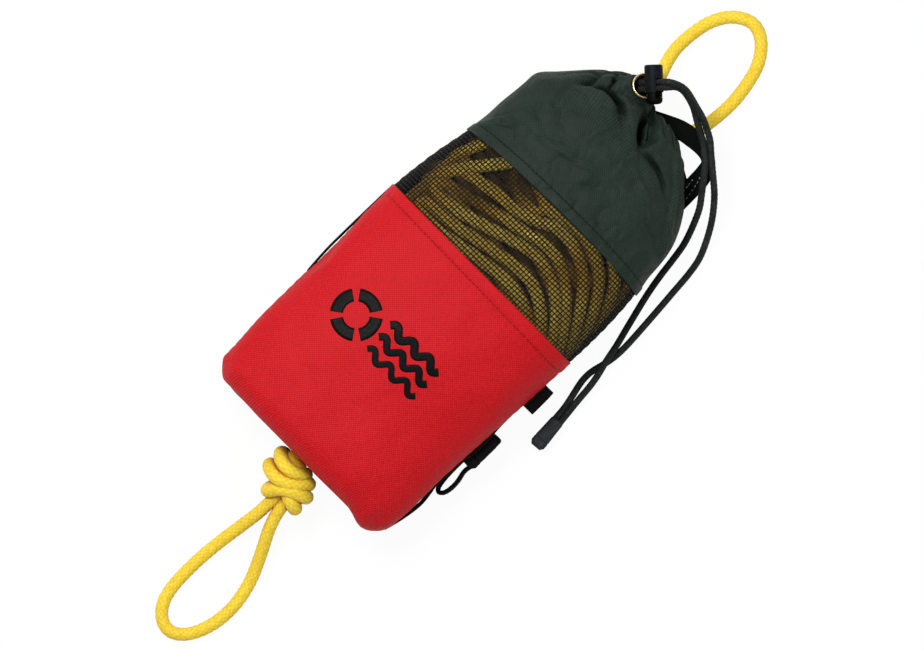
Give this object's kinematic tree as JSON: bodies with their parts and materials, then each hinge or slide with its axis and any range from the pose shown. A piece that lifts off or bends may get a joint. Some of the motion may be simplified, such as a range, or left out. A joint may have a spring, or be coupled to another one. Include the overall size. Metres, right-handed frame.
{
  "type": "throw rope bag",
  "caption": "Drawstring throw bag of red and dark green cloth with a mesh window, stuffed with yellow braided rope, with rope loops at both ends, a cord lock and a small strap buckle.",
  "frame": {"origin": "centre of the resting face on the bag's back, z = 0 is the ground the bag lies on", "axes": "+X from the base to the mouth, +Y to the bag's left side as seen from its front with the mouth up, +Z out of the front panel"},
  "size_m": [0.6003, 0.2078, 0.0801],
  "materials": {
    "red_cloth": "satin",
    "netting": "matt",
    "green_cloth": "satin",
    "black_cloth": "matt",
    "black_webbing": "matt",
    "brass": "polished",
    "foam": "matt",
    "rope": "matt",
    "cord": "matt",
    "cord_end_plastic": "satin",
    "lock_plastic": "satin",
    "spring_steel": "satin",
    "buckle_plastic": "satin"
  },
  "bodies": {
    "bag": {"front_panel": "red_cloth", "back_panel": "black_cloth", "mesh_window": "netting", "collar": "green_cloth", "base_panel": "black_cloth", "binding_left": "black_webbing", "binding_right": "black_webbing", "side_tab": "black_webbing", "base_grommet": "brass", "base_washer": "brass", "mouth_grommet": "brass", "mouth_washer": "brass", "foam_float": "foam", "stowed_rope": "rope", "base_rope": "rope", "handle_knot": "rope", "throw_rope": "rope", "drawcord_a": "cord", "drawcord_b": "cord", "drawcord_hem": "cord", "carry_loop": "black_webbing", "buckle_plug": "buckle_plastic", "buckle_loop": "black_webbing"},
    "handle_loop": {"handle_loop": "rope"},
    "throw_loop": {"throw_loop": "rope"},
    "drawcord_tail": {"drawcord_tail_a": "cord", "drawcord_tail_b": "cord", "cord_end": "cord_end_plastic"},
    "cord_cap": {"cord_end_cap": "cord_end_plastic"},
    "cord_lock": {"lock_barrel": "lock_plastic", "lock_spring": "spring_steel"},
    "lock_button": {"lock_plunger": "lock_plastic"},
    "buckle_socket": {"buckle_socket": "buckle_plastic", "socket_strap": "black_webbing"}
  },
  "joints": [
    {"name": "handle_loop_swing", "type": "hinge", "parent": "bag", "child": "handle_loop", "pos_m": [-0.216, -0.0127, 0.0245], "axis": [0, 1, 0], "range_deg": [0, 50]},
    {"name": "throw_loop_swing", "type": "hinge", "parent": "bag", "child": "throw_loop", "pos_m": [0.214, -0.0155, 0.0064], "axis": [0, -1, 0], "range_deg": [0, 40]},
    {"name": "drawcord_swing", "type": "hinge", "parent": "bag", "child": "drawcord_tail", "pos_m": [0.1733, -0.0608, 0.031], "axis": [0, 0, 1], "range_deg": [0, 40]},
    {"name": "cord_cap_pull", "type": "slide", "parent": "drawcord_tail", "child": "cord_cap", "axis": [-0.9976, -0.0698, 0], "range_m": [0, 0.008]},
    {"name": "cord_lock_slide", "type": "slide", "parent": "bag", "child": "cord_lock", "axis": [0.4009, -0.3838, 0.8318], "range_m": [0, 0.007]},
    {"name": "lock_press", "type": "slide", "parent": "cord_lock", "child": "lock_button", "axis": [0.6919, 0.722, 0], "range_m": [0, 0.003], "stiffness_N_per_m": 300, "springref_m": -0.002, "deforming": ["lock_spring"]},
    {"name": "buckle_release", "type": "slide", "parent": "bag", "child": "buckle_socket", "axis": [1, 0, 0], "range_m": [0, 0.02]}
  ]
}
